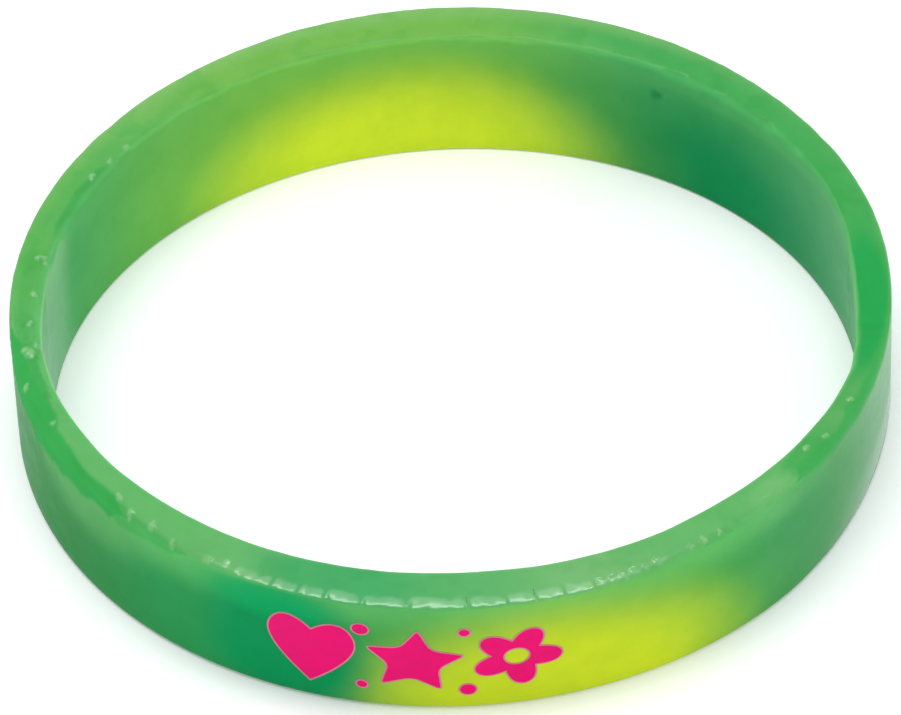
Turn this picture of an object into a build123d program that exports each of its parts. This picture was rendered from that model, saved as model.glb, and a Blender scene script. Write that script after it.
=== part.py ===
from build123d import *
import math
import os

# Wristband: one closed loop of moulded silicone rubber, with no clasp, lying on its lower edge.
# Millimetres, +Z up. The origin is on the surface that the loop lies on, under its middle.
# +X runs along the oval's longer width, and the front of the band is at -Y.

# The band as it was moulded.
outside_length = 202.0  # once round the outside, an adult size
band_height = 12.0  # from edge to edge
side_wall = 2.55  # the wall is thinnest at the two ends of the oval
front_wall = 3.55  # and thickest at its front and back
edge_radius = 0.5  # the four long edges

# The shape that the soft loop has as it lies. Out of round is how far the oval's half width is over
# the round radius, and its half depth is as far under it.
rim_out_of_round = 0.9
foot_out_of_round = 1.2
hollow_shift_x = 0.1  # the hollow is a little off the middle, so the wall is thinner on the right
hollow_shift_y = -0.3  # and thinner at the front

round_radius = outside_length / (2 * math.pi)
levels = {0: foot_out_of_round, band_height: rim_out_of_round}

with BuildPart() as band:
    # The outside goes from the foot's oval to the rim's, which is nearer to round.
    for level, out_of_round in levels.items():
        with BuildSketch(Plane.XY.offset(level)):
            Ellipse(round_radius + out_of_round, round_radius - out_of_round)
    loft(ruled=True)

    # The hollow follows the outside, one wall further in.
    for level, out_of_round in levels.items():
        with BuildSketch(Plane.XY.offset(level)):
            with Locations((hollow_shift_x, hollow_shift_y)):
                Ellipse(
                    round_radius + out_of_round - side_wall,
                    round_radius - out_of_round - front_wall,
                )
    loft(ruled=True, mode=Mode.SUBTRACT)

    # The mould leaves the two edges of the rim and the two of the foot rounded.
    by_height = band.edges().group_by(Axis.Z)
    fillet(by_height[0] + by_height[-1], edge_radius)

band.part.label = "band"

os.makedirs("parts", exist_ok=True)
export_step(band.part, "parts/band.step")

print("band", round(band.part.volume, 1), "mm3", band.part.bounding_box().size)
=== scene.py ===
import math

import bmesh
import bpy
from mathutils import Matrix, Vector, noise


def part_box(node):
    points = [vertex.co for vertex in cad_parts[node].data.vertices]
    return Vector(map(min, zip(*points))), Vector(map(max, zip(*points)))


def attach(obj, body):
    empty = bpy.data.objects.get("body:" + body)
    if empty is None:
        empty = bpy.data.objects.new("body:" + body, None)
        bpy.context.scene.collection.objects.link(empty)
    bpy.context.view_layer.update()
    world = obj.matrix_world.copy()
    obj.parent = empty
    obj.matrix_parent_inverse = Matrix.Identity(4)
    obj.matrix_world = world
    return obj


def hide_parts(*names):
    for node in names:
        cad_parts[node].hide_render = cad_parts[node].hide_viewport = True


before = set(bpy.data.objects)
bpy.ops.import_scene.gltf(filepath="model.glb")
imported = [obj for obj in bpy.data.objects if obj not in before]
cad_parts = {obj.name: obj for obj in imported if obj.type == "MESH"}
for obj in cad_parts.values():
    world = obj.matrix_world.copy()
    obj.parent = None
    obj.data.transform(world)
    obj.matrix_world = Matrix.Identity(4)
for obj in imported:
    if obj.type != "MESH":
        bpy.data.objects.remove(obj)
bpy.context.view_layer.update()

mm = 0.001
touching = 0.001 * mm  # points nearer than this are the same
footLow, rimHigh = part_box("band")
bandHeight = rimHigh.z - footLow.z

# the loop's sizes: length, depth and height come from the CAD box, the walls are the CAD's own
loop = {
    "sideWall": 2.55 * mm,
    "frontWall": 3.55 * mm,
    "edgeRadius": 0.5 * mm,
    "squash": 0.3 * mm,  # the foot is this much longer and less deep than the rim, each way
    "hollowShift": (0.1 * mm, -0.3 * mm),
}
# the box ends where the edges start to round, one radius off the foot and the rim
atRounding = loop["squash"] * loop["edgeRadius"] / bandHeight
footOval = Vector((rimHigh.x - footLow.x, rimHigh.y - footLow.y - 2 * loop["squash"])) / 2
footOval += Vector((atRounding, atRounding))
rimOval = footOval + Vector((-loop["squash"], loop["squash"]))
wallOval = Vector((loop["sideWall"], loop["frontWall"]))
hollowShift = Vector(loop["hollowShift"])


# small helpers for modelling

def clearSelection():
    if bpy.context.object and bpy.context.object.mode != "OBJECT":
        bpy.ops.object.mode_set(mode="OBJECT")
    bpy.ops.object.select_all(action="DESELECT")


def makeActive(piece):
    clearSelection()
    piece.select_set(True)
    bpy.context.view_layer.objects.active = piece


def editPiece(piece, selectMode="VERT"):
    makeActive(piece)
    bpy.ops.object.mode_set(mode="EDIT")
    bpy.ops.mesh.select_mode(type=selectMode)
    bpy.ops.mesh.select_all(action="DESELECT")


def pick(kind, test):
    # in edit mode: selects only the verts, edges or faces that pass the test
    bpy.ops.mesh.select_all(action="DESELECT")
    mesh = bpy.context.object.data
    shape = bmesh.from_edit_mesh(mesh)
    for part in getattr(shape, kind):
        if test(part):
            part.select_set(True)
    bmesh.update_edit_mesh(mesh)


def applyModifiers(piece):
    makeActive(piece)
    for modifier in list(piece.modifiers):
        bpy.ops.object.modifier_apply(modifier=modifier.name)


def ramp(low, high, value):
    # 0 up to low, 1 from high on, smooth between
    share = min(max((value - low) / (high - low), 0), 1)
    return share * share * (3 - 2 * share)


def between(stations, angle, column):
    # a column of a table that has the angle first, read between its rows
    if angle <= stations[0][0]:
        return stations[0][column]
    for before, after in zip(stations, stations[1:]):
        if angle <= after[0]:
            share = ramp(before[0], after[0], angle)
            return before[column] + (after[column] - before[column]) * share
    return stations[-1][column]


# places on the loop

def frontAngle(point):
    # degrees round the loop from the front, towards +X
    return math.degrees(math.atan2(point.x, -point.y))


def angleApart(first, second):
    return abs((first - second + 180) % 360 - 180)


def depthInside(point, centre, oval):
    offset = Vector((point.x, point.y)) - centre
    return offset.length * (1 / math.hypot(offset.x / oval.x, offset.y / oval.y) - 1)


def ovalAt(height):
    return footOval.lerp(rimOval, min(max(height / bandHeight, 0), 1))


def fromOutside(point):
    return depthInside(point, Vector((0, 0)), ovalAt(point.z))


def fromHollow(point):
    return -depthInside(point, hollowShift, ovalAt(point.z) - wallOval)


def onRim(angle, depth):
    # the point of the rim at an angle from the front and a depth from the outside
    turn = math.radians(angle)
    way = Vector((math.sin(turn), -math.cos(turn)))
    reach = 1 / math.hypot(way.x / rimOval.x, way.y / rimOval.y) - depth
    return Vector((way.x * reach, way.y * reach, bandHeight))


def alongRim(angle):
    return math.radians(angle) * rimOval.x / mm


# camera at the photo's angle

shot = {
    "lens": 211.1,
    "distance": 400 * mm,
    "elevation": 46.27,  # degrees, and so is the roll
    "roll": -2.62,
    "shift": (-0.00198, -0.01605),
}


def setCamera():
    middle = Vector((0, 0, bandHeight / 2))
    elevation = math.radians(shot["elevation"])
    back = Vector((0, -math.cos(elevation), math.sin(elevation)))
    bpy.ops.object.camera_add(location=middle + back * shot["distance"])
    camera = bpy.context.object
    camera.name = "photoCamera"
    tilt = Matrix.Rotation(math.radians(90) - elevation, 3, "X")
    roll = Matrix.Rotation(math.radians(shot["roll"]), 3, "Z")
    camera.rotation_euler = (tilt @ roll).to_euler()
    camera.data.lens = shot["lens"]
    camera.data.sensor_width = 36
    camera.data.shift_x, camera.data.shift_y = shot["shift"]
    camera.data.clip_start = 10 * mm
    bpy.context.scene.camera = camera


clearSelection()
setCamera()
print("camera set")


# studio: white floor, white surround, a long softbox overhead and soft lights at the sides

studio = {
    "floorSize": 2.4,
    "floorColour": (0.93, 0.935, 0.94),
    "floorGlow": 0.1,  # a light table under the paper
    "surround": (0.96, 0.98, 1.0),
    "surroundStrength": 0.75,
    "lights": {
        # name: place, size, watts
        "overhead": ((-0.05, -0.02, 0.55), (0.36, 0.11), 1.15),
        "overheadGlow": ((-0.03, 0.1, 0.54), (0.4, 0.12), 0.35),
        "backLeft": ((-0.5, 0.4, 0.45), (0.4, 0.3), 1.0),
        "rightCard": ((0.6, -0.1, 0.3), (0.3, 0.35), 0.8),
    },
}


def setStudio():
    bpy.ops.mesh.primitive_plane_add(size=studio["floorSize"], location=(0, 0, 0))
    floor = bpy.context.object
    floor.name = "floor"
    paint = bpy.data.materials.new("floorPaint")
    paint.use_nodes = True
    shader = paint.node_tree.nodes["Principled BSDF"]
    shader.inputs["Base Color"].default_value = (*studio["floorColour"], 1)
    shader.inputs["Roughness"].default_value = 0.9
    shader.inputs["Specular IOR Level"].default_value = 0.1
    shader.inputs["Emission Color"].default_value = (*studio["floorColour"], 1)
    shader.inputs["Emission Strength"].default_value = studio["floorGlow"]
    floor.data.materials.append(paint)

    world = bpy.data.worlds.new("surround")
    bpy.context.scene.world = world
    world.use_nodes = True
    background = world.node_tree.nodes["Background"]
    background.inputs["Color"].default_value = (*studio["surround"], 1)
    background.inputs["Strength"].default_value = studio["surroundStrength"]

    for name, (place, size, watts) in studio["lights"].items():
        bpy.ops.object.light_add(type="AREA", location=place)
        light = bpy.context.object
        light.name = name
        light.data.shape = "RECTANGLE"
        light.data.size, light.data.size_y = size
        light.data.energy = watts
        light.rotation_euler = Vector((0, 0, -1)).rotation_difference(-Vector(place)).to_euler()
    bpy.context.scene.view_settings.view_transform = "Standard"


setStudio()
print("studio set")


# the band: one loop, shaped from a circle

band = {
    "around": 1320,  # faces round the loop
    "cornerFaces": 6,  # across the rim's inner edge
    "outerEdgeFaces": 4,
    "footEdgeFaces": 3,
    "outerEdge": 0.14 * mm,  # the mould's parting line left the rim's outer edge crisp
    "footInnerEdge": 0.3 * mm,
    "wallCuts": 8,
    "upperWallCuts": 3,  # more rows where the rim is torn
    "upperRows": 2.2,  # how many rows of the wall these reach down
    "rimCuts": 13,
    # wear of the rim's edges: angle from the front in degrees, then in mm the radius of the outer edge,
    # the radius of the inner edge, how far the hollow's upper wall is worn outwards (inwards where it
    # is under 0), and how far the foot is drawn in
    "wear": [
        (-180, 0.4, 0.45, 0, 0),
        (-135, 0.45, 0.5, 0, 0),
        (-112, 0.35, 0.8, 0, 0),
        (-92, 0.3, 1.0, 0.2, 0),
        (-84, 0.4, 1.05, 0.28, 0),
        (-76, 0.5, 1.1, 0.22, 0),
        (-62, 0.7, 0.9, 0, 0),
        (-48, 0.7, 0.55, 0, 0),
        (-40, 0.65, 0.5, 0, 0),
        (-34, 0.35, 0.5, 0.05, 0),
        (-29, 0.14, 0.5, 0.05, 0),
        (0, 0.14, 0.5, 0.1, 0),
        (17, 0.14, 0.5, 0.25, 0),
        (26, 0.45, 0.5, 0.3, 0),
        (38, 0.7, 0.5, 0.2, 0),
        (48, 0.6, 0.7, 0.15, 0),
        (56, 0.5, 1.0, 0.1, 0.1),
        (66, 0.5, 1.2, 0.22, 0.2),
        (72, 0.5, 1.2, 0.3, 0.22),
        (76, 0.45, 0.9, 0.15, 0.2),
        (81, 0.4, 0.5, -0.15, 0.15),
        (88, 0.3, 0.3, -0.36, 0.05),
        (93, 0.3, 0.28, -0.32, 0),
        (101, 0.35, 0.3, -0.1, 0),
        (110, 0.4, 0.5, 0, 0),
        (121, 0.5, 0.85, 0, 0),
        (131, 0.5, 0.9, 0, 0),
        (142, 0.5, 0.75, 0, 0),
        (154, 0.45, 0.45, 0, 0),
        (180, 0.4, 0.45, 0, 0),
    ],
    # how far in mm the front leans out at its rim, by the angle
    "lean": [(-62, 0), (-35, 0.28), (0, 0.34), (20, 0.3), (52, 0)],
    "wearUneven": 0.9,  # how much the edges' radius varies from place to place towards the back
    "wearLump": 1.9 * mm,  # the size of such a place
    "crownWidth": 1.5 * mm,  # the rim falls away towards its outer edge
    "crownDrop": 0.34 * mm,
    "crownLump": 1.7,  # how long its slow and its quick unevenness is, in mm, and how strong
    "crownLumpShare": 0.12,
    "crownGrit": 0.5,
    "crownGritShare": 0.16,
    "sagSize": 22 * mm,  # slow waves of the whole soft loop
    "sagDepth": 0.1 * mm,
    "rimWaveSize": 2.4 * mm,
    "rimWaveDepth": 0.08 * mm,
    "flashSize": 0.5 * mm,  # remains of the mould's flash along the outer edge
    "flashDepth": 0.05 * mm,
    # the front edge was trimmed in short strokes, which end at these angles
    "strokes": [-31, -25.3, -21.6, -18.0, -13.2, -7.3, 0.4, 5.4, 9.3, 13.0, 17.2],
    "strokeStart": 0.4,  # degrees over which a stroke starts to cut, and stops
    "strokeStop": 0.7,
    "strokeFall": 0.14,  # how much less it cuts at its end
    "strokeGap": 0.4,  # and between two strokes
    "tearDepth": 0.07 * mm,
    "lipHeight": 0.03 * mm,
    "lipOff": 0.12,  # how far below the tear the lip stands and how wide it is, in mm
    "lipWidth": 0.24,
    # places where the rim's outer edge is torn: how dark, how deep, then rows of the angle
    # and the reach in mm over the rim and down the wall
    "tears": [
        (1.0, 1.0, [(-86.5, 0.2, 0.2), (-82.5, 1.2, 1.5), (-77, 1.4, 2.5), (-71, 1.3, 2.1),
                    (-65, 1.0, 1.9), (-58, 0.9, 1.7), (-52, 0.8, 1.3), (-49, 0.1, 0.2)]),
        (0.55, 0.7, [(-52.5, 0.2, 0.4), (-50, 0.6, 1.2), (-45, 0.45, 1.0), (-41.5, 0.35, 0.8),
                     (-38, 0.05, 0.1)]),
        (0.75, 0.7, [(49.5, 0.05, 0.05), (51.5, 1.0, 0.2), (56, 1.1, 0.35), (60, 0.6, 0.3),
                     (63, 0.9, 0.6), (66, 0.6, 0.35), (69, 0.8, 0.8), (74, 0.8, 0.5),
                     (80, 0.4, 0.3), (85, 0.05, 0.05)]),
        (0.3, 0.5, [(33, 0.05, 0.02), (34.5, 0.7, 0.2), (36.5, 0.5, 0.2), (38, 0.05, 0.02)]),
    ],
    # how ragged the tears' borders are: size in mm, row of the noise, share
    "jags": [(2.1, 0.3, 0.4), (0.9, 7.7, 0.2)],
    # specks of rubber left by the trimming: angle, depth from the outside, radius and height in mm
    "beads": [
        (-117, 2.4, 0.35, 0.24), (-120.7, 2.75, 0.3, 0.2), (-124.5, 2.9, 0.4, 0.2),
        (-99.4, 1.7, 0.32, 0.3), (-99.6, 2.25, 0.28, 0.24), (-98.8, 2.6, 0.3, 0.24),
        (-92.5, 1.95, 0.34, 0.3), (-87, 1.8, 0.3, 0.22), (-82.6, 2.15, 0.3, 0.24),
        (-81.2, 1.45, 0.6, 0.36), (-75.5, 0.15, 0.4, 0.24), (-67.9, 0.9, 0.25, 0.22),
        (-51.3, 0.9, 0.32, 0.24), (-48.4, 0.5, 0.4, 0.28), (-44.6, 0.55, 0.4, 0.26),
        (-40.7, 0.3, 0.34, 0.3), (-34.9, 0.35, 0.3, 0.2), (-32.6, 0.75, 0.26, 0.1),
        (18.4, 0.35, 0.22, 0.14), (20.1, 0.45, 0.3, 0.2), (21.6, 0.3, 0.2, 0.12),
        (22.9, 0.5, 0.32, 0.22), (24.6, 0.4, 0.22, 0.14), (26.5, 0.4, 0.34, 0.22),
        (27.4, 0.55, 0.2, 0.12), (31.4, 0.45, 0.24, 0.16), (33.4, 0.45, 0.32, 0.24),
        (36.0, 0.5, 0.22, 0.16), (45.4, 0.9, 1.1, 0.12), (54.6, 1.5, 0.3, 0.2),
        (65.4, 0.95, 0.26, 0.22), (58.1, 0.9, 0.24, 0.18),
    ],
    "beadMargin": 0.1 * mm,  # the faces are finer this far round a speck
    "beadCuts": 2,
    "swelling": 0.8,  # a speck wider than this, in mm, is a low swelling, and gets neither the painted glint nor the specks' gloss
    # each speck has a smaller one against it: how far off and how large, as shares of its radius
    "chipOff": 0.95,
    "chipSize": 0.7,
    "chipTurn": 47,  # each degree round the loop turns the smaller one this much further round its speck
    # cuts across the front edge: angle, width, reach and depth in mm
    "nicks": [(0.4, 0.1, 0.6, 0.06), (9.3, 0.1, 0.65, 0.08)],
    "nickMargin": 0.17 * mm,  # the faces are finer this far to each side, over this much of the rim
    "nickReach": 1.1 * mm,
    "nickCuts": 3,
    "dimple": (143.8, 9.1, 0.6, 0.24),  # in the hollow's wall: angle, height, radius and depth in mm
}
# the columns of the tables of wear, lean and tears, after the angle
outerRadius, innerRadius, hollowWorn, footDrawn = 1, 2, 3, 4
leanOut = 1
overRim, downWall = 1, 2


def shapeLoop():
    clearSelection()
    bpy.ops.mesh.primitive_circle_add(
        vertices=band["around"], radius=1, location=(0, 0, 0), fill_type="NOTHING")
    piece = bpy.context.object
    piece.name = "rubber_band"
    editPiece(piece, "EDGE")
    shift = hollowShift.to_3d()

    def stretchTo(old, new, z):
        # the selected ring goes from one oval to another, about the middle
        bpy.ops.transform.resize(value=(new[0] / old[0], new[1] / old[1], 1), center_override=(0, 0, z))

    bpy.ops.mesh.select_all(action="SELECT")
    stretchTo((1, 1), footOval, 0)
    bpy.ops.mesh.extrude_edges_move(TRANSFORM_OT_translate={"value": (0, 0, bandHeight)})
    stretchTo(footOval, rimOval, bandHeight)
    bpy.ops.mesh.extrude_edges_move()
    stretchTo(rimOval, rimOval - wallOval, bandHeight)
    bpy.ops.transform.translate(value=shift)
    bpy.ops.mesh.extrude_edges_move(TRANSFORM_OT_translate={"value": (0, 0, -bandHeight)})
    bpy.ops.transform.translate(value=-shift)
    stretchTo(rimOval - wallOval, footOval - wallOval, 0)
    bpy.ops.transform.translate(value=shift)

    # the foot closes the loop
    pick("edges", lambda edge: all(abs(v.co.z) < 0.1 * mm for v in edge.verts))
    bpy.ops.mesh.bridge_edge_loops()
    bpy.ops.mesh.select_all(action="SELECT")
    bpy.ops.mesh.remove_doubles(threshold=touching)
    bpy.ops.mesh.normals_make_consistent(inside=False)

    # the four long edges are rounded, the rim's outer one least
    for level, side, radius, faces in (
        (bandHeight, fromOutside, band["outerEdge"], band["outerEdgeFaces"]),
        (bandHeight, fromHollow, loop["edgeRadius"], band["cornerFaces"]),
        (0, fromOutside, loop["edgeRadius"], band["footEdgeFaces"]),
        (0, fromHollow, band["footInnerEdge"], band["footEdgeFaces"]),
    ):
        def isLongEdge(edge):
            atLevel = all(abs(v.co.z - level) < touching for v in edge.verts)
            onSide = all(abs(side(v.co)) < 0.02 * mm for v in edge.verts)
            return atLevel and onSide and edge.calc_length() < loop["edgeRadius"]

        pick("edges", isLongEdge)
        bpy.ops.mesh.bevel(offset=radius, segments=faces, profile=0.5, affect="EDGES")

    # rows of faces on the walls, more of them high up, and across the rim
    pick("edges", lambda edge: edge.calc_length() > bandHeight / 2)
    bpy.ops.mesh.subdivide(number_cuts=band["wallCuts"])
    rowHeight = bandHeight / (band["wallCuts"] + 1)

    def isUpper(edge):
        # a whole row's edge, near the top of a wall
        low, high = sorted(v.co.z for v in edge.verts)
        lowest = bandHeight - loop["edgeRadius"] - band["upperRows"] * rowHeight
        return high - low > 0.8 * rowHeight and low > lowest

    def isAcrossRim(edge):
        return edge.calc_length() > 2 * loop["edgeRadius"] and edge.verts[0].co.z > 0.99 * bandHeight

    pick("edges", isUpper)
    bpy.ops.mesh.subdivide(number_cuts=band["upperWallCuts"])
    pick("edges", isAcrossRim)
    bpy.ops.mesh.subdivide(number_cuts=band["rimCuts"])
    bpy.ops.object.mode_set(mode="OBJECT")
    bpy.ops.object.shade_smooth()
    return piece


def jagged(angle, seed):
    # ragged reach of a tear along the rim, about 1
    along = alongRim(angle)
    reach = 1
    for size, row, share in band["jags"]:
        reach += share * noise.noise(Vector((along / size, seed, row)))
    return reach


def tearAt(point, stations):
    # how deep in the tear the point is, from 0 at its border, and how far in mm it is past the border
    angle = frontAngle(point)
    start, end = stations[0][0], stations[-1][0]
    if not start < angle < end or fromHollow(point) < 0.3 * mm:
        return 0, 1
    past = bandHeight - point.z - fromOutside(point)
    side = overRim if past < 0 else downWall
    reach = between(stations, angle, side) * jagged(angle, start + (past > 0) * 31) * mm
    return max(1 - abs(past) / reach, 0), (abs(past) - reach) / mm


def chipsOf(bead):
    # the speck and the smaller one against it, which lies another way at each: place, radius, height
    angle, depth, radius, height = bead
    place = onRim(angle, depth * mm)
    way = math.radians(angle * band["chipTurn"])
    off = Vector((math.cos(way), math.sin(way), 0)) * band["chipOff"] * radius * mm
    small = band["chipSize"] * (0.8 + 0.4 * math.sin(5 * angle) ** 2)
    return [(place, radius * mm, height * mm), (place + off, radius * small * mm, height * small * mm)]


def markPlaces(piece):
    # where each point is on the unworn loop is kept for the material: on the rim or not, across the
    # rim from -1 on the hollow's side to 1 on the outside, in a tear or not, and on a speck or not, where the
    # speck gets a painted glint
    names = ("onTop", "across", "torn", "speckAndGlint")
    for name in names:
        piece.data.attributes.new(name, "FLOAT", "POINT")
    marks = {name: piece.data.attributes[name].data for name in names}
    specks = [chip for bead in band["beads"] if bead[2] < band["swelling"] for chip in chipsOf(bead)]
    for vertex in piece.data.vertices:
        point = vertex.co
        angle = frontAngle(point)
        outside, hollow, down = fromOutside(point), fromHollow(point), bandHeight - point.z
        # the colour of the rim fades out over the edges, the wider they are worn
        outerBlend = max(between(band["wear"], angle, outerRadius) * 0.9, 0.16) * mm
        innerBlend = between(band["wear"], angle, innerRadius) * 0.5 * mm
        onTop = 1 - ramp(-outerBlend, outerBlend, down - outside)
        onTop *= 1 - ramp(-innerBlend * 1.4, innerBlend * 0.6, down - hollow)
        marks["onTop"][vertex.index].value = onTop
        marks["across"][vertex.index].value = (hollow - outside) / (hollow + outside)
        torn = 0
        for dark, deep, stations in band["tears"]:
            torn = max(torn, dark * (1 - ramp(-0.22, 0.12, tearAt(point, stations)[1])))
        marks["torn"][vertex.index].value = torn
        if down < 0.5 * mm:
            apart = min((point - place).length / radius for place, radius, height in specks)
            marks["speckAndGlint"][vertex.index].value = max(1 - apart * apart, 0)


def strokeAt(angle):
    # each trimming stroke cuts a little less towards its end, and stops short of the next one
    ends = band["strokes"]
    for start, end in zip(ends, ends[1:]):
        if start <= angle < end:
            gap = max(ramp(band["strokeStart"], 0, angle - start), ramp(band["strokeStop"], 0, end - angle))
            fall = band["strokeFall"] * (angle - start) / (end - start)
            return (1.03 - fall) * (1 - band["strokeGap"] * gap)
    return 0.9


def weigh(piece, name, weight):
    # a vertex group, from a rule that gives each point its weight
    group = piece.vertex_groups.new(name=name)
    for vertex in piece.data.vertices:
        share = weight(vertex.co)
        if share > 0.004:  # less than this moves nothing that shows
            group.add([vertex.index], min(share, 1), "REPLACE")


def weighLoop(piece):
    # all weights are set on the unworn loop
    def crown(point):
        # widest and deepest at the front
        angle, outside = frontAngle(point), fromOutside(point)
        width = band["crownWidth"] * (0.6 + 0.4 * abs(math.cos(math.radians(angle))))
        onTop = ramp(bandHeight - 2.2 * mm, bandHeight, point.z)
        along = alongRim(angle)
        slow = noise.noise(Vector((along / band["crownLump"], 3.1, 0)))
        quick = noise.noise(Vector((along / band["crownGrit"], 9.4, outside / (band["crownGrit"] * mm))))
        uneven = 0.92 + band["crownLumpShare"] * slow + band["crownGritShare"] * quick
        drop = uneven * strokeAt(angle) * (1 - 0.6 * ramp(45, 80, abs(angle)))
        return drop * onTop * max(1 - max(outside, 0) / width, 0) ** 2

    def tears(point):
        deepest = 0
        for dark, deep, stations in band["tears"]:
            inTear = tearAt(point, stations)[0]
            if inTear > 0:
                deepest = max(deepest, deep * (0.55 + 0.45 * ramp(0, 0.4, inTear)))
        return deepest

    def lip(point):
        # a thin lip below the long tear at the left
        past = bandHeight - point.z - fromOutside(point)
        longTear = band["tears"][0][2]
        if past < 0.4 * mm or not longTear[0][0] < frontAngle(point) < longTear[-1][0]:
            return 0
        return max(1 - abs(tearAt(point, longTear)[1] - band["lipOff"]) / band["lipWidth"], 0)

    def sag(point):
        return ramp(0, 2 * mm, point.z)

    def rimWaves(point):
        return ramp(bandHeight - 0.6 * mm, bandHeight - 0.1 * mm, point.z)

    def flash(point):
        # most of it is left at the front
        atFront = 0.2 + 0.8 * (1 - ramp(25, 70, abs(frontAngle(point))))
        high = ramp(bandHeight - 0.7 * mm, bandHeight - 0.2 * mm, point.z)
        return atFront * high * (1 - ramp(0.3 * mm, 1.0 * mm, fromOutside(point)))

    for rule in (crown, tears, lip, sag, rimWaves, flash):
        weigh(piece, rule.__name__, rule)


def wearEdges(piece):
    # the rim's two edges get the radius that the table gives at each angle, and the walls their wear
    for vertex in piece.data.vertices:
        point = vertex.co.copy()
        angle = frontAngle(point)
        down, outside, hollow = bandHeight - point.z, fromOutside(point), fromHollow(point)
        outer = outside < hollow
        outward = Vector((point.x, point.y, 0)).normalized()
        within = outside if outer else hollow
        radius = between(band["wear"], angle, outerRadius if outer else innerRadius) * mm
        uneven = noise.noise(Vector((point.x, point.y, 0)) / band["wearLump"]) * (0.2 if outer else 1)
        radius *= 1 + band["wearUneven"] * uneven * ramp(90, 104, abs(angle))
        along = (down - within) / radius  # -1 on the rim, 0 at the corner, 1 on the wall
        if abs(along) < 1 and down < 2 * mm:
            turn = (along + 1) * math.pi / 4
            sideways = radius * (1 - math.sin(turn)) - within
            drop = radius * (1 - math.cos(turn)) - down
            vertex.co = point + outward * sideways * (-1 if outer else 1) - Vector((0, 0, drop))
        across = outside / (outside + hollow)
        worn = between(band["wear"], angle, hollowWorn) * across * ramp(1 * mm, 9 * mm, point.z)
        drawn = between(band["wear"], angle, footDrawn) * (1 - across) * (1 - ramp(0, 9 * mm, point.z))
        leant = between(band["lean"], angle, leanOut) * (1 - across) * ramp(2 * mm, 11 * mm, point.z)
        vertex.co += outward * (worn - drawn + leant) * mm


def press(piece, name, depth, direction="NORMAL", size=None, middle=0.5):
    # moves the weighed points, all alike or by a cloud texture with lumps of this size
    modifier = piece.modifiers.new(name, "DISPLACE")
    if size:
        modifier.texture = bpy.data.textures.new(name, type="CLOUDS")
        modifier.texture.noise_scale = size
        modifier.texture_coords = "LOCAL"
        modifier.mid_level = middle
    else:
        modifier.mid_level = 0
    modifier.direction = direction
    modifier.strength = depth
    modifier.vertex_group = name


def finishLoop(piece):
    markPlaces(piece)
    weighLoop(piece)
    wearEdges(piece)
    press(piece, "tears", -band["tearDepth"])
    press(piece, "lip", band["lipHeight"])
    press(piece, "crown", -band["crownDrop"], "Z")
    press(piece, "sag", band["sagDepth"], size=band["sagSize"])
    press(piece, "rimWaves", band["rimWaveDepth"], size=band["rimWaveSize"])
    press(piece, "flash", band["flashDepth"], size=band["flashSize"], middle=0.55)
    applyModifiers(piece)


def pullPoint(place, way, radius, falloff="SMOOTH"):
    # in edit mode: the point of the mesh nearest to a place is moved, and its neighbours follow
    mesh = bpy.context.object.data
    shape = bmesh.from_edit_mesh(mesh)
    near = min(shape.verts, key=lambda vertex: (vertex.co - place).length_squared)
    bpy.ops.mesh.select_all(action="DESELECT")
    near.select_set(True)
    bmesh.update_edit_mesh(mesh)
    bpy.ops.transform.translate(
        value=way, use_proportional_edit=True, proportional_edit_falloff=falloff, proportional_size=radius)


def acrossCut(point, angle):
    # how far the point is to the side of a cut at this angle
    return math.radians(angleApart(frontAngle(point), angle)) * rimOval.x


def addBeads(piece):
    editPiece(piece, "FACE")
    chips = [chip for bead in band["beads"] for chip in chipsOf(bead)]
    margin = band["beadMargin"]

    def isNearBead(face):
        middle = face.calc_center_median()
        if middle.z < bandHeight - 1.2 * mm:
            return False
        return any((middle - place).to_2d().length < radius + margin for place, radius, height in chips)

    pick("faces", isNearBead)
    bpy.ops.mesh.subdivide(number_cuts=band["beadCuts"])
    bpy.ops.mesh.select_mode(type="VERT")
    for place, radius, height in chips:
        pullPoint(place, (0, 0, 0.5 * height), radius * 1.2)


def addDimple(piece):
    angle, height, radius, depth = band["dimple"]
    turn = math.radians(angle)
    way = Vector((math.sin(turn), -math.cos(turn), 0))
    inner = ovalAt(height * mm) - wallOval
    reach = 1 / math.hypot(way.x / inner.x, way.y / inner.y)
    editPiece(piece)
    place = Vector((way.x * reach, way.y * reach, height * mm)) + hollowShift.to_3d()
    pullPoint(place, way * depth * mm, radius * mm)


def cutNicks(piece):
    editPiece(piece, "FACE")

    def isNearNick(face):
        middle = face.calc_center_median()
        if middle.z < bandHeight - 1.3 * mm or fromOutside(middle) > band["nickReach"]:
            return False
        return any(acrossCut(middle, nick[0]) < band["nickMargin"] for nick in band["nicks"])

    pick("faces", isNearNick)
    bpy.ops.mesh.subdivide(number_cuts=band["nickCuts"])
    bpy.ops.mesh.select_mode(type="VERT")
    for angle, width, reach, depth in band["nicks"]:
        turn = math.radians(angle)

        def isCut(vertex):
            inReach = 0.1 * mm < fromOutside(vertex.co) < reach * mm and vertex.co.z > bandHeight - 0.5 * mm
            return inReach and acrossCut(vertex.co, angle) < width * mm / 2

        pick("verts", isCut)
        bpy.ops.transform.translate(value=Vector((-math.sin(turn), math.cos(turn), -1)) * depth * mm)
    bpy.ops.object.mode_set(mode="OBJECT")


bandPiece = shapeLoop()
print("band shaped", len(bandPiece.data.polygons), "faces")
finishLoop(bandPiece)
print("rim worn, torn and crowned")
addBeads(bandPiece)
addDimple(bandPiece)
cutNicks(bandPiece)
print("beads, dimple and nicks added", len(bandPiece.data.polygons), "faces")


# the print: a row of plain motifs in pink ink, each with a thin pale edge

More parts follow.
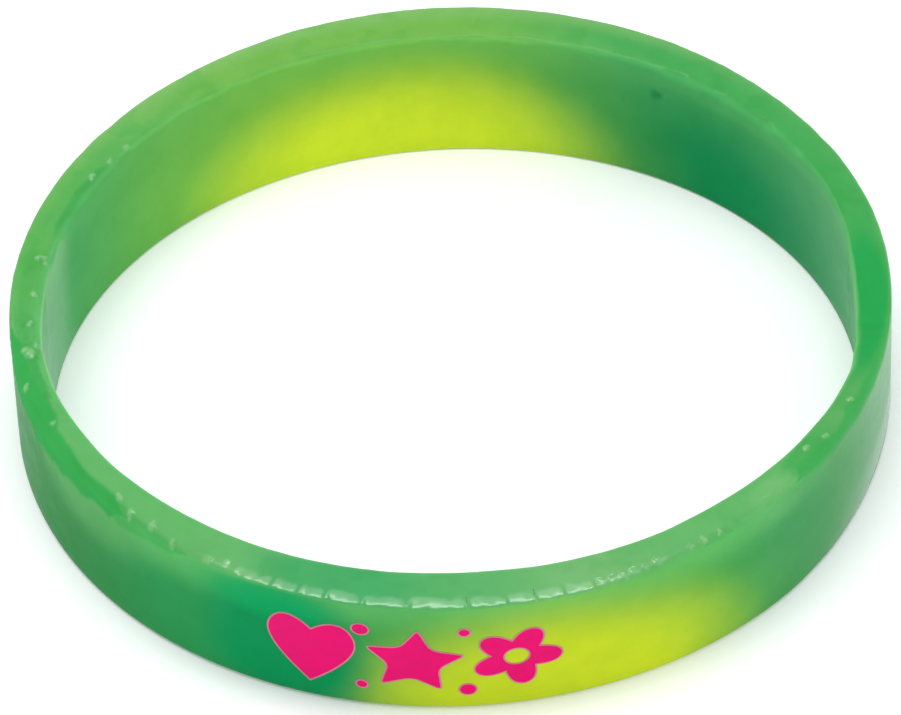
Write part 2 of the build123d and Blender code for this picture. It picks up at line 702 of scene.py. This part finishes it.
motifs = {
    "turn": -7,  # degrees from the front to the row's middle
    "middle": 5.7 * mm,  # its height on the band
    "bendRadius": 35 * mm,  # how the front of the band curves
    "edgeWidth": 0.12 * mm,
    "inkOver": 0.03 * mm,  # the ink stands this much over the rubber
    "inkDepth": 0.06 * mm,
    "sliceWidth": 0.35 * mm,
    "sliceHeight": 1.0 * mm,
    # kind, place along the row and above its middle in mm, radius in mm, tilt in degrees
    "row": [
        ("heart", -7.5, 0.2, 3.0, -4), ("star", 0.0, -0.1, 3.95, -6), ("flower", 7.4, 0.1, 3.45, 10),
        ("disc", -3.7, 3.35, 0.7, 0), ("disc", -3.9, -3.2, 0.5, 0), ("disc", 3.7, 3.4, 0.5, 0),
        ("disc", 3.8, -3.4, 0.7, 0),
    ],
}


def addDisc(radius, points, fill="NGON"):
    bpy.ops.mesh.primitive_circle_add(vertices=points, radius=radius, fill_type=fill, location=(0, 0, 0))
    return bpy.context.object


def shapeDisc(radius):
    return addDisc(radius, 28)


def shapeHeart(radius):
    heart = addDisc(radius, 64)
    editPiece(heart)
    pullPoint(Vector((0, -radius, 0)), (0, -0.75 * radius, 0), 1.35 * radius, "SHARP")
    pullPoint(Vector((0, radius, 0)), (0, -0.62 * radius, 0), 1.0 * radius, "SHARP")
    bpy.ops.mesh.select_all(action="SELECT")
    bpy.ops.transform.resize(value=(1.1, 1, 1), center_override=(0, 0, 0))
    bpy.ops.transform.translate(value=(0, 0.4 * radius, 0))
    return heart


def shapeStar(radius):
    star = addDisc(radius, 10)
    editPiece(star)
    pick("verts", lambda vertex: vertex.index % 2)
    bpy.ops.transform.resize(value=(0.5, 0.5, 1), center_override=(0, 0, 0))
    bpy.ops.mesh.select_all(action="SELECT")
    bpy.ops.mesh.bevel(offset=0.14 * radius, segments=4, affect="VERTICES")
    return star


def shapeFlower(radius):
    # a ring, drawn in between its five petals
    flower = addDisc(radius, 80, "NOTHING")
    editPiece(flower, "EDGE")
    bpy.ops.mesh.select_all(action="SELECT")
    bpy.ops.mesh.extrude_edges_move()
    bpy.ops.transform.resize(value=(0.25, 0.25, 1), center_override=(0, 0, 0))
    bpy.ops.mesh.select_mode(type="VERT")
    for petal in range(5):
        turn = math.radians(72 * petal)
        notch = Vector((radius * math.sin(turn), radius * math.cos(turn), 0))
        pullPoint(notch, -0.42 * notch, 0.66 * radius, "SHARP")
    return flower


def addMotif(kind, along, above, radius, tilt):
    makers = {"heart": shapeHeart, "star": shapeStar, "flower": shapeFlower, "disc": shapeDisc}
    shape = makers[kind](radius * mm)
    makeActive(shape)
    shape.rotation_euler.z = math.radians(tilt)
    shape.location = (along * mm, above * mm, 0)
    bpy.ops.object.transform_apply(location=True, rotation=True, scale=True)
    return shape


def slicePiece(piece):
    # cuts the flat shape into narrow slices, so that it can follow the band
    editPiece(piece)
    corners = [vertex.co for vertex in piece.data.vertices]
    for axis, step in ((0, motifs["sliceWidth"]), (1, motifs["sliceHeight"])):
        low, high = min(corner[axis] for corner in corners), max(corner[axis] for corner in corners)
        for cut in range(1, int((high - low) / step) + 1):
            place = [0, 0, 0]
            place[axis] = low + cut * step
            bpy.ops.mesh.select_all(action="SELECT")
            bpy.ops.mesh.bisect(plane_co=place, plane_no=[float(index == axis) for index in range(3)])
    bpy.ops.mesh.select_all(action="SELECT")
    bpy.ops.mesh.quads_convert_to_tris()
    bpy.ops.object.mode_set(mode="OBJECT")


def layOnBand(piece):
    slicePiece(piece)
    piece.rotation_euler.x = math.radians(90)  # stands it up, facing the front
    bpy.ops.object.transform_apply(location=True, rotation=True, scale=True)
    bend = piece.modifiers.new("bend", "SIMPLE_DEFORM")
    bend.deform_method = "BEND"
    bend.deform_axis = "Z"
    bend.angle = piece.dimensions.x / motifs["bendRadius"]
    applyModifiers(piece)
    turn = math.radians(motifs["turn"])
    piece.rotation_euler.z = turn
    depth = (footOval.y + rimOval.y) / 2
    piece.location = (depth * math.sin(turn), -depth * math.cos(turn), motifs["middle"])
    bpy.ops.object.transform_apply(location=True, rotation=True, scale=True)
    wrap = piece.modifiers.new("wrap", "SHRINKWRAP")
    wrap.target = bandPiece
    wrap.wrap_method = "NEAREST_SURFACEPOINT"
    wrap.wrap_mode = "ABOVE_SURFACE"
    wrap.offset = motifs["inkOver"]
    ink = piece.modifiers.new("ink", "SOLIDIFY")
    ink.thickness = motifs["inkDepth"]
    ink.offset = -1
    applyModifiers(piece)
    bpy.ops.object.shade_smooth_by_angle(angle=math.radians(40))


def addPrint():
    shapes = [addMotif(*motif) for motif in motifs["row"]]
    clearSelection()
    for shape in shapes:
        shape.select_set(True)
    edge = shapes[0]
    bpy.context.view_layer.objects.active = edge
    bpy.ops.object.join()
    edge.name = "print_edge"
    editPiece(edge, "FACE")
    bpy.ops.mesh.select_all(action="SELECT")
    bpy.ops.mesh.inset(thickness=motifs["edgeWidth"], use_boundary=True)
    bpy.ops.mesh.separate(type="SELECTED")
    bpy.ops.object.mode_set(mode="OBJECT")
    fill = next(piece for piece in bpy.context.selected_objects if piece != edge)
    fill.name = "print_fill"
    for piece in (edge, fill):
        layOnBand(piece)
    return edge, fill


printEdge, printFill = addPrint()
print("print laid on the band", len(printEdge.data.polygons) + len(printFill.data.polygons), "faces")


# materials

def newMaterial(name):
    material = bpy.data.materials.new(name)
    material.use_nodes = True
    return material, material.node_tree, material.node_tree.nodes["Principled BSDF"].inputs


def feed(tree, socket, value):
    # a value is another node's socket, or a plain number or colour
    if isinstance(value, bpy.types.NodeSocket):
        tree.links.new(value, socket)
    else:
        socket.default_value = value


def calc(tree, operation, *values):
    made = tree.nodes.new("ShaderNodeMath")
    made.operation = operation
    for socket, value in zip(made.inputs, values):
        feed(tree, socket, value)
    return made.outputs[0]


def spread(tree, value, low, high, atLow=0.0, atHigh=1.0):
    # smooth change from one level to another while value goes from low to high
    made = tree.nodes.new("ShaderNodeMapRange")
    made.interpolation_type = "SMOOTHSTEP"
    names = ("Value", "From Min", "From Max", "To Min", "To Max")
    for name, level in zip(names, (value, low, high, atLow, atHigh)):
        feed(tree, made.inputs[name], level)
    return made.outputs["Result"]


def mixColour(tree, share, first, second, blend="MIX"):
    made = tree.nodes.new("ShaderNodeMix")
    made.data_type = "RGBA"
    made.blend_type = blend
    feed(tree, made.inputs[0], share)
    feed(tree, made.inputs[6], first if isinstance(first, bpy.types.NodeSocket) else (*first, 1))
    feed(tree, made.inputs[7], second if isinstance(second, bpy.types.NodeSocket) else (*second, 1))
    return made.outputs[2]


def attribute(tree, name):
    made = tree.nodes.new("ShaderNodeAttribute")
    made.attribute_name = name
    return made.outputs["Fac"]


def objectPlace(tree):
    return tree.nodes.new("ShaderNodeTexCoord").outputs["Object"]


def noiseField(tree, where, size, detail=2.0, roughness=0.5):
    # soft noise with lumps of this size, from 0 to 1
    made = tree.nodes.new("ShaderNodeTexNoise")
    tree.links.new(where, made.inputs["Vector"])
    feed(tree, made.inputs["Scale"], calc(tree, "DIVIDE", 1.0, size))
    made.inputs["Detail"].default_value = detail
    made.inputs["Roughness"].default_value = roughness
    return made.outputs["Fac"]


def newGroup(name, inputs, outputs):
    group = bpy.data.node_groups.new(name, "ShaderNodeTree")
    for title, value in inputs.items():
        kind = "NodeSocketVector" if isinstance(value, tuple) else "NodeSocketFloat"
        group.interface.new_socket(title, in_out="INPUT", socket_type=kind).default_value = value
    for title in outputs:
        group.interface.new_socket(title, in_out="OUTPUT", socket_type="NodeSocketFloat")
    return group, group.nodes.new("NodeGroupInput").outputs, group.nodes.new("NodeGroupOutput").inputs


def useGroup(tree, group, values):
    made = tree.nodes.new("ShaderNodeGroup")
    made.node_tree = group
    for title, value in values.items():
        feed(tree, made.inputs[title], value)
    return made.outputs


def makePlaceGroup():
    # where a point of the band is: degrees from the front and share of the height
    group, given, result = newGroup("placeOnBand", {"Where": (0.0, 0.0, 0.0)}, ("Angle", "Height"))
    split = group.nodes.new("ShaderNodeSeparateXYZ")
    group.links.new(given["Where"], split.inputs[0])
    x, y, z = split.outputs
    turn = calc(group, "ARCTAN2", x, calc(group, "MULTIPLY", y, -1.0))
    feed(group, result["Angle"], calc(group, "DEGREES", turn))
    feed(group, result["Height"], calc(group, "DIVIDE", z, bandHeight))
    return group


def makePatchGroup():
    # a soft-edged oval patch on the band, where its colour or its gloss has changed
    sizes = {
        "Angle": 0.0, "Level": 0.0, "Centre": 0.0, "Half Angle": 20.0, "Middle": 0.5, "Half Level": 0.5,
        "Softness": 0.3, "Waver": 0.0,
    }
    group, given, result = newGroup("softPatch", sizes, ("Mask",))

    def squared(offset, half):
        share = calc(group, "ABSOLUTE", calc(group, "DIVIDE", offset, half))
        return calc(group, "POWER", share, 2.0)

    turned = calc(group, "WRAP", calc(group, "SUBTRACT", given["Angle"], given["Centre"]), 180.0, -180.0)
    side = squared(turned, given["Half Angle"])
    rise = squared(calc(group, "SUBTRACT", given["Level"], given["Middle"]), given["Half Level"])
    off = calc(group, "ADD", calc(group, "SQRT", calc(group, "ADD", side, rise)), given["Waver"])
    inner = calc(group, "SUBTRACT", 1.0, given["Softness"])
    outer = calc(group, "ADD", 1.0, given["Softness"])
    feed(group, result["Mask"], spread(group, off, inner, outer, 1.0, 0.0))
    return group


def makeGrainGroup():
    # a soft moulded or printed surface: slow clouds, and a fine grain for the bump
    sizes = {"Where": (0.0, 0.0, 0.0), "Cloud Size": 3 * mm, "Grain Size": 0.35 * mm}
    group, given, result = newGroup("softGrain", sizes, ("Clouds", "Grain"))
    clouds = noiseField(group, given["Where"], given["Cloud Size"], 4.0, 0.6)
    feed(group, result["Clouds"], spread(group, clouds, 0.33, 0.7))
    feed(group, result["Grain"], noiseField(group, given["Where"], given["Grain Size"], 3.0, 0.6))
    return group


def addBump(tree, shader, grain, distance):
    bump = tree.nodes.new("ShaderNodeBump")
    bump.inputs["Strength"].default_value = 0.3
    bump.inputs["Distance"].default_value = distance
    feed(tree, bump.inputs["Height"], grain)
    feed(tree, shader["Normal"], bump.outputs["Normal"])


placeOnBand = makePlaceGroup()
softPatch = makePatchGroup()
softGrain = makeGrainGroup()

silicone = {
    "wallGreen": (0.020, 0.295, 0.078),
    "upperPaintedLightGreen": (0.100, 0.45, 0.125),  # painted light: the walls are painted paler just below the rim, as if lit from above
    "rimGreen": (0.104, 0.366, 0.108),
    "tornRimGreen": (0.038, 0.322, 0.068),
    "tornWallGreen": (0.043, 0.365, 0.082),
    # painted highlight: the specks of rubber are painted paler, standing in for their glints
    "speckGlintGreen": (0.19, 0.45, 0.18),
    "speckGlintTint": 0.8,  # how much of this painted glint colour the specks have
    "cloudShade": (0.90, 0.95, 0.91),  # in the clouds of the grain
    "blotchShade": (0.84, 0.96, 0.90),  # the rim is a little deeper in colour in small places
    "blotchSize": 3.4 * mm,
    "blotchRange": (0.5, 0.62),
    "paintedLightRange": (0.62, 0.98),  # where the painted light turns the walls paler, as shares of the height
    "waverSize": 14 * mm,  # of the wide patches' outlines
    "waver": 0.3,
    "rimWaver": 1.5,  # how many times as much it is on the rim
    "paintedLightWaver": 0.4,  # and where the painted light turns the walls paler
    "trimWaverSize": 2.2 * mm,  # of the trimmed places' outlines
    "trimWaver": 1.5,
    "roughness": 0.36,
    "tornRoughness": 0.95,
    "wallGloss": 0.02,
    "rimGloss": 0.22,
    "frayedGloss": 0.6,
    "tornDulling": 0.9,  # how much of the gloss a tear takes away
    "glossRoughness": 0.17,
    # where warmth or wear has changed the colour, and where light, shade or sheen is painted: side, centre
    # and half angle in degrees, middle and half level (shares of the height, or across the rim from -1 at the
    # hollow to 1), softness, strength, colour
    "patches": [
        ("outside", -74, 24, 0.35, 0.8, 0.6, 0.85, (0.030, 0.225, 0.052)),  # painted shade: darker towards the left end
        ("outside", -57, 11, 0.82, 0.26, 0.6, 0.65, (0.118, 0.41, 0.122)),  # painted light: paler high on the wall below the long tear
        ("outside", 47, 7, 0.45, 0.5, 0.6, 0.35, (0.045, 0.30, 0.110)),  # bluer, right of the warm patch
        ("outside", 47, 6, 0.93, 0.14, 0.6, 0.5, (0.155, 0.50, 0.165)),  # and painted light above it, paler high on the wall
        ("outside", 72, 26, 0.4, 1.2, 0.6, 0.8, (0.080, 0.285, 0.100)),  # painted sheen: greyer towards the right end
        ("outside", 13.5, 29, 0.0, 1.0, 0.5, 0.4, (0.24, 0.56, 0.034)),  # round the warm patch
        ("outside", 12.5, 23, 0.0, 0.80, 0.44, 1.0, (0.56, 0.685, 0.020)),  # warm, at the front
        ("outside", -25, 10.5, 0.40, 0.57, 0.4, 1.0, (0.0, 0.280, 0.084)),  # cold, at the front left
        ("outside", -27, 8.5, 0.86, 0.15, 0.6, 0.7, (0.0, 0.40, 0.120)),  # painted light: brighter high on the wall above it
        ("inside", 238, 26, 0.4, 1.3, 0.6, 0.7, (0.085, 0.40, 0.118)),  # paler at the left
        ("inside", 110, 14, 0.6, 0.6, 0.6, 0.7, (0.055, 0.31, 0.120)),  # painted sheen: greyer at the right end
        ("inside", 135, 25, 0.7, 0.3, 0.6, 0.7, (0.050, 0.34, 0.110)),  # above the cold patch
        ("inside", 133, 25, 0.1, 0.54, 0.6, 0.9, (0.002, 0.242, 0.080)),  # cold, at the back right
        ("inside", 196, 42, 0.05, 1.3, 0.5, 0.7, (0.26, 0.56, 0.060)),  # round the warm patch
        ("inside", 188, 28, 0.0, 0.665, 0.52, 1.0, (0.68, 0.80, 0.032)),  # warm, at the back
        ("inside", 143.8, 0.9, 0.76, 0.045, 0.6, 0.5, (0.0, 0.21, 0.068)),  # painted shade in the dimple
        ("inside", 127, 24, 0.98, 0.12, 0.5, 0.85, (0.076, 0.392, 0.120)),  # the edge above the cold patch
        ("rim", -16, 13, -0.2, 1.4, 0.5, 1.0, (0.033, 0.315, 0.087)),  # bluer at the front left
        ("rim", 0, 7, -0.2, 1.4, 0.8, 0.8, (0.068, 0.345, 0.095)),  # and less so in the middle
        ("rim", 18, 7, 0.2, 1.2, 0.6, 0.8, (0.140, 0.385, 0.120)),  # paler at the front right
        ("rim", -168, 37, 0.0, 2.5, 0.5, 0.9, (0.146, 0.372, 0.056)),  # yellower at the back left
        ("rim", -107, 18, 0.0, 2.5, 0.5, 0.8, (0.080, 0.340, 0.066)),  # and less so at the left
        ("rim", 108, 54, -0.15, 1.2, 0.35, 0.95, (0.046, 0.310, 0.070)),  # deeper at the right and back right
        ("rim", 144, 34, 1.0, 0.75, 0.8, 0.8, (0.080, 0.325, 0.092)),  # with a paler outer edge, a painted sheen
        ("rim", -163, 50, 1.0, 0.7, 0.8, 0.8, (0.190, 0.410, 0.118)),  # and a paler outer edge at the back left, a painted sheen
        ("rim", 84, 15, -0.25, 1.15, 0.35, 1.0, (0.014, 0.295, 0.060)),  # deepest at the right end
        ("rim", 46, 3.5, 0.3, 0.7, 0.5, 0.8, (0.135, 0.395, 0.132)),  # the low swelling
        ("rim", 62, 8, 0.1, 1.3, 0.5, 0.7, (0.092, 0.335, 0.094)),  # right of it
        ("trim", -77, 8.5, 0.4, 1.0, 0.25, 0.85, (0.036, 0.305, 0.064)),  # at the long tear
        ("trim", 55.3, 4.8, 0.1, 1.1, 0.3, 0.9, (0.060, 0.325, 0.075)),  # at the right tear
        ("trim", -112, 8, -0.75, 0.38, 0.35, 0.8, (0.040, 0.305, 0.066)),  # at the hollow's edge on the left
        ("trim", -92, 7, 0.0, 0.5, 0.4, 0.5, (0.055, 0.315, 0.065)),  # at the left end
    ],
    # where the rubber is glossier, in the same columns without a colour
    "glossPatches": [
        ("rim", -4, 30, 0.0, 3.0, 0.3, 0.78),
        ("outside", -88, 16, 0.5, 3.0, 0.5, 0.02),
        ("outside", 88, 27, 0.5, 3.0, 0.45, 0.40),
        ("outside", 75, 17, 0.0, 0.3, 0.6, 0.55),
        ("inside", 271, 16, 0.5, 3.0, 0.2, 0.5),
        ("inside", 103, 18, 0.6, 3.0, 0.5, 0.15),
    ],
}


def makeSilicone():
    material, tree, shader = newMaterial("silicone")
    where = objectPlace(tree)
    place = useGroup(tree, placeOnBand, {"Where": where})
    grain = useGroup(tree, softGrain, {"Where": where})
    onTop, across = attribute(tree, "onTop"), attribute(tree, "across")
    torn, speckAndGlint = attribute(tree, "torn"), attribute(tree, "speckAndGlint")
    below = calc(tree, "SUBTRACT", 1.0, onTop)

    # slow waver for the wide patches and a jagged one for the trimmed places
    def waver(field, strength):
        return calc(tree, "MULTIPLY", calc(tree, "SUBTRACT", field, 0.5), strength)

    slow = waver(noiseField(tree, where, silicone["waverSize"], 1.0), silicone["waver"])
    sharp = waver(noiseField(tree, where, silicone["trimWaverSize"], 3.0, 0.6), silicone["trimWaver"])
    outer = calc(tree, "MULTIPLY", spread(tree, across, 0.0, 0.2), below)
    inner = calc(tree, "MULTIPLY", spread(tree, across, 0.0, -0.2), below)
    sides = {
        "outside": (outer, place["Height"], slow),
        "inside": (inner, place["Height"], slow),
        "rim": (onTop, across, calc(tree, "MULTIPLY", slow, silicone["rimWaver"])),
        "trim": (onTop, across, sharp),
    }

    def patchMask(side, centre, halfAngle, middle, halfLevel, softness, strength):
        onSide, level, outline = sides[side]
        patch = useGroup(tree, softPatch, {
            "Angle": place["Angle"], "Level": level, "Centre": float(centre),
            "Half Angle": float(halfAngle), "Middle": float(middle), "Half Level": float(halfLevel),
            "Softness": softness, "Waver": outline,
        })
        return calc(tree, "MULTIPLY", patch["Mask"], calc(tree, "MULTIPLY", onSide, strength))

    # painted light: the walls are painted paler towards the rim, as if lit from above
    uneven = calc(tree, "MULTIPLY_ADD", slow, silicone["paintedLightWaver"], place["Height"])
    paintedLightHigh = spread(tree, uneven, *silicone["paintedLightRange"])
    wall = mixColour(tree, paintedLightHigh, silicone["wallGreen"], silicone["upperPaintedLightGreen"])
    colour = mixColour(tree, onTop, wall, silicone["rimGreen"])
    for *patch, tint in silicone["patches"]:
        colour = mixColour(tree, patchMask(*patch), colour, tint)
    blotches = noiseField(tree, where, silicone["blotchSize"], 2.0, 0.55)
    blotches = calc(tree, "MULTIPLY", spread(tree, blotches, *silicone["blotchRange"]), onTop)
    colour = mixColour(tree, blotches, colour, silicone["blotchShade"], "MULTIPLY")
    tornColour = mixColour(tree, onTop, silicone["tornWallGreen"], silicone["tornRimGreen"])
    colour = mixColour(tree, torn, colour, tornColour)
    # painted highlight: the specks are painted paler as glints, besides their real gloss below
    speckGlintShare = calc(tree, "MULTIPLY", speckAndGlint, silicone["speckGlintTint"])
    colour = mixColour(tree, speckGlintShare, colour, silicone["speckGlintGreen"])
    colour = mixColour(tree, grain["Clouds"], colour, silicone["cloudShade"], "MULTIPLY")
    feed(tree, shader["Base Color"], colour)

    rough = spread(tree, noiseField(tree, where, 1.2 * mm, 3.0, 0.6), 0.25, 0.75,
                   silicone["roughness"] - 0.04, silicone["roughness"] + 0.05)
    # torn rubber is matt
    rough = calc(tree, "MAXIMUM", rough, calc(tree, "MULTIPLY", torn, silicone["tornRoughness"]))
    feed(tree, shader["Roughness"], rough)
    overWall = silicone["rimGloss"] - silicone["wallGloss"]
    gloss = calc(tree, "MULTIPLY_ADD", onTop, overWall, silicone["wallGloss"])
    for patch in silicone["glossPatches"]:
        gloss = calc(tree, "ADD", gloss, patchMask(*patch))
    gloss = calc(tree, "MULTIPLY", gloss, calc(tree, "MULTIPLY_ADD", torn, -silicone["tornDulling"], 1.0))
    gloss = calc(tree, "MULTIPLY_ADD", speckAndGlint, silicone["frayedGloss"], gloss)
    feed(tree, shader["Coat Weight"], gloss)
    shader["Coat Roughness"].default_value = silicone["glossRoughness"]
    shader["IOR"].default_value = 1.41
    shader["Specular IOR Level"].default_value = 0.02
    shader["Subsurface Weight"].default_value = 0.1
    shader["Subsurface Radius"].default_value = (0.35, 1.0, 0.4)
    shader["Subsurface Scale"].default_value = 1.0 * mm
    addBump(tree, shader, grain["Grain"], 0.015 * mm)
    return material


inks = {
    # name: colour, the same where the ink is thin, roughness
    "pinkInk": ((0.83, 0.0, 0.160), (0.75, 0.002, 0.146), 0.42),
    "paleInk": ((0.62, 0.22, 0.29), (0.45, 0.24, 0.24), 0.46),
}


def makeInk(name):
    colour, thinColour, roughness = inks[name]
    material, tree, shader = newMaterial(name)
    sizes = {"Where": objectPlace(tree), "Cloud Size": 1.6 * mm, "Grain Size": 0.18 * mm}
    grain = useGroup(tree, softGrain, sizes)
    feed(tree, shader["Base Color"], mixColour(tree, grain["Clouds"], colour, thinColour))
    rough = spread(tree, grain["Grain"], 0.3, 0.7, roughness - 0.05, roughness + 0.06)
    feed(tree, shader["Roughness"], rough)
    shader["Specular IOR Level"].default_value = 0.04
    addBump(tree, shader, grain["Grain"], 0.01 * mm)
    return material


bandPiece.data.materials.clear()
bandPiece.data.materials.append(makeSilicone())
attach(bandPiece, "root")
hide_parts("band")
for inkPiece, inkName in ((printFill, "pinkInk"), (printEdge, "paleInk")):
    inkPiece.data.materials.clear()
    inkPiece.data.materials.append(makeInk(inkName))
    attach(inkPiece, "root")
print("silicone and inks made")
